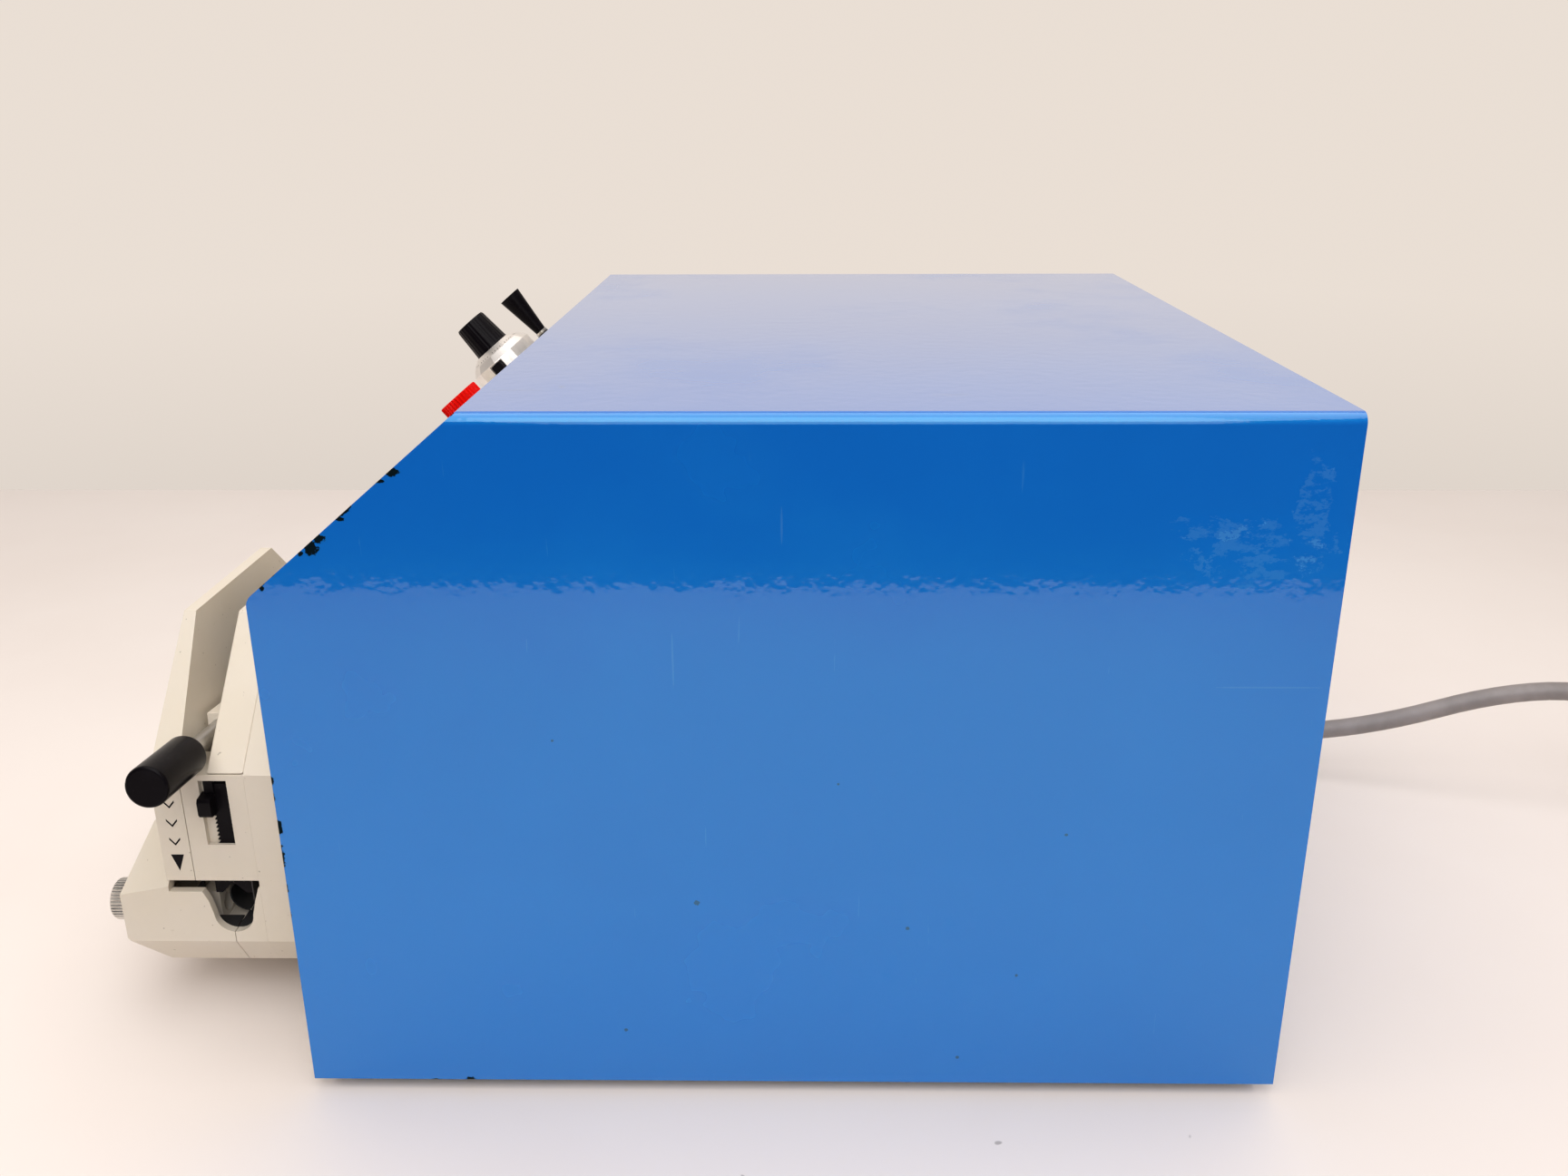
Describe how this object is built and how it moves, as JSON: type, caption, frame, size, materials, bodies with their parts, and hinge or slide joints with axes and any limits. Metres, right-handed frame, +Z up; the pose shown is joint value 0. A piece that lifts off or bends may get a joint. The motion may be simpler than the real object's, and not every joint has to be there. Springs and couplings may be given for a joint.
{
  "type": "peristaltic pump",
  "caption": "Bench-top peristaltic pump: blue sheet-metal drive case with a sloping control panel, moulded roller pump head with hinged guard, crank handle, tube clamps and mains flex.",
  "frame": {"origin": "middle of the pump's footprint, without the mains flex, on the surface it stands on", "axes": "+X to the right seen from the control panel, +Y to the back, +Z up"},
  "size_m": [0.2754, 0.6565, 0.1908],
  "materials": {
    "blue_paint": "gloss stoved enamel with light orange peel",
    "panel_paint": "satin cream enamel",
    "rear_paint": "gloss stoved enamel",
    "zinc_steel": "dull zinc plate",
    "foot_rubber": "moulded rubber",
    "screw_steel": "turned steel",
    "red_lens": "moulded fluted lens",
    "black_plastic": "moulded",
    "black_gloss": "moulded phenolic",
    "satin_chrome": "satin",
    "dark_blue_plastic": "moulded",
    "switch_plastic": "phenolic",
    "nickel": "bright nickel plate",
    "cream_plastic": "moulded, satin",
    "spring_steel": "oiled",
    "grey_plastic": "moulded",
    "roller_nylon": "turned nylon",
    "bearing_steel": "ground",
    "gear_brass": "hobbed",
    "plate_aluminium": "milled",
    "motor_steel": "satin",
    "core_iron": "varnished laminations",
    "coil_tape": "tape",
    "board_green": "solder mask",
    "chip_black": "moulded",
    "terminal_white": "moulded",
    "fuse_glass": "clear",
    "black_rubber": "moulded",
    "grey_pvc": "extruded",
    "plug_pvc": "moulded"
  },
  "bodies": {
    "case": {"cover": "blue_paint", "front_panel": "panel_paint", "rear_panel": "rear_paint", "base_tray": "zinc_steel", "rubber_feet": "foot_rubber", "screws": "screw_steel", "lamp_holder": "black_plastic", "lamp_lens": "red_lens", "dial_body": "satin_chrome", "potentiometer": "dark_blue_plastic", "switch_body": "switch_plastic", "switch_nut": "nickel", "head_back_block": "cream_plastic", "track_block": "cream_plastic", "tube_shelf": "cream_plastic", "clamp_housing_right": "cream_plastic", "clamp_housing_left": "cream_plastic", "hinge_bracket": "cream_plastic", "hinge_pins": "screw_steel", "ball_bearings": "bearing_steel", "gear_plate": "plate_aluminium", "motor_body": "motor_steel", "motor_cap": "black_plastic", "transformer_core": "core_iron", "transformer_coil": "coil_tape", "control_board": "board_green", "board_parts": "chip_black", "terminal_block": "terminal_white", "fuse_holder": "black_plastic", "cable_gland": "black_rubber", "mains_cord": "grey_pvc", "cord_coil": "grey_pvc", "mains_plug": "plug_pvc", "plug_pins": "nickel"},
    "guard": {"guard_door": "cream_plastic"},
    "screw_carrier": {"screw_clip": "spring_steel"},
    "thumb_screw": {"thumb_screw": "nickel"},
    "clamp_right": {"clamp_slider_right": "black_plastic"},
    "clamp_left": {"clamp_slider_left": "black_plastic"},
    "rotor": {"rotor_hub": "grey_plastic", "arm_pivot_pins": "screw_steel", "crank_boss": "cream_plastic", "crank_rod": "screw_steel", "drive_shaft": "screw_steel", "drive_gear": "gear_brass"},
    "roller_arm_a": {"roller_arm_a": "grey_plastic", "roller_pin_a": "screw_steel"},
    "roller_arm_b": {"roller_arm_b": "grey_plastic", "roller_pin_b": "screw_steel"},
    "roller_a": {"roller_a": "roller_nylon"},
    "roller_b": {"roller_b": "roller_nylon"},
    "crank_knob": {"crank_knob": "black_gloss"},
    "motor_rotor": {"motor_shaft": "screw_steel", "motor_pinion": "gear_brass"},
    "dial": {"dial_knob": "black_gloss", "pot_shaft": "screw_steel"},
    "dial_brake": {"dial_brake": "black_plastic"},
    "toggle": {"toggle_lever": "black_gloss"},
    "fuse": {"fuse_cap": "black_plastic", "fuse_link": "fuse_glass"}
  },
  "joints": [
    {"name": "guard_hinge", "type": "hinge", "parent": "case", "child": "guard", "pos_m": [-0.033, -0.1376, 0.0363], "axis": [0, 0, -1], "range_deg": [0, 105]},
    {"name": "screw_travel", "type": "slide", "parent": "guard", "child": "screw_carrier", "axis": [0, -1, 0], "range_m": [0, 0.003]},
    {"name": "screw_turn", "type": "hinge", "parent": "screw_carrier", "child": "thumb_screw", "pos_m": [0.091, -0.159, 0.0313], "axis": [0, -1, 0], "range_deg": [0, 1080]},
    {"name": "clamp_right_slide", "type": "slide", "parent": "case", "child": "clamp_right", "axis": [0, 0, -1], "range_m": [0, 0.0085]},
    {"name": "clamp_left_slide", "type": "slide", "parent": "case", "child": "clamp_left", "axis": [0, 0, -1], "range_m": [0, 0.0085]},
    {"name": "rotor_turn", "type": "hinge", "parent": "case", "child": "rotor", "pos_m": [0.03825, -0.124, 0.0808], "axis": [0, -1, 0], "range_deg": [-3, 165]},
    {"name": "roller_arm_a_spring", "type": "hinge", "parent": "rotor", "child": "roller_arm_a", "pos_m": [0.05042, -0.124, 0.09001], "axis": [0, -1, 0], "range_deg": [0, 4], "stiffness_Nm_per_rad": 2, "springref_deg": -5.73},
    {"name": "roller_arm_b_spring", "type": "hinge", "parent": "rotor", "child": "roller_arm_b", "pos_m": [0.02608, -0.124, 0.07159], "axis": [0, -1, 0], "range_deg": [0, 4], "stiffness_Nm_per_rad": 2, "springref_deg": -5.73},
    {"name": "roller_a_spin", "type": "hinge", "parent": "roller_arm_a", "child": "roller_a", "pos_m": [0.03605, -0.124, 0.10369], "axis": [0, -1, 0], "continuous": true},
    {"name": "roller_b_spin", "type": "hinge", "parent": "roller_arm_b", "child": "roller_b", "pos_m": [0.04045, -0.124, 0.05791], "axis": [0, -1, 0], "continuous": true},
    {"name": "crank_knob_spin", "type": "hinge", "parent": "rotor", "child": "crank_knob", "pos_m": [0.11788, -0.1381, 0.08847], "axis": [0.9954, 0, 0.0958], "continuous": true},
    {"name": "motor_turn", "type": "hinge", "parent": "case", "child": "motor_rotor", "pos_m": [0.0006, -0.069, 0.0808], "axis": [0, -1, 0], "range_deg": [-700, 20]},
    {"name": "dial_turn", "type": "hinge", "parent": "case", "child": "dial", "pos_m": [-0.037, -0.07851, 0.17916], "axis": [0, -0.6451, 0.7641], "range_deg": [-1800, 1800]},
    {"name": "dial_brake_turn", "type": "hinge", "parent": "case", "child": "dial_brake", "pos_m": [-0.037, -0.07206, 0.17152], "axis": [0, -0.6451, 0.7641], "range_deg": [-3, 3]},
    {"name": "toggle_rock", "type": "hinge", "parent": "case", "child": "toggle", "pos_m": [-0.106, -0.0669, 0.16541], "axis": [1, 0, 0], "range_deg": [-12, 12]},
    {"name": "fuse_cap_turn", "type": "hinge", "parent": "case", "child": "fuse", "pos_m": [-0.098, 0.164, 0.0433], "axis": [0, 1, 0], "range_deg": [0, 45]}
  ],
  "couplings": [
    {"joint": "screw_turn", "follows": "screw_travel", "rad_per_m": 6283.2},
    {"joint": "motor_turn", "follows": "rotor_turn", "ratio": -4}
  ]
}
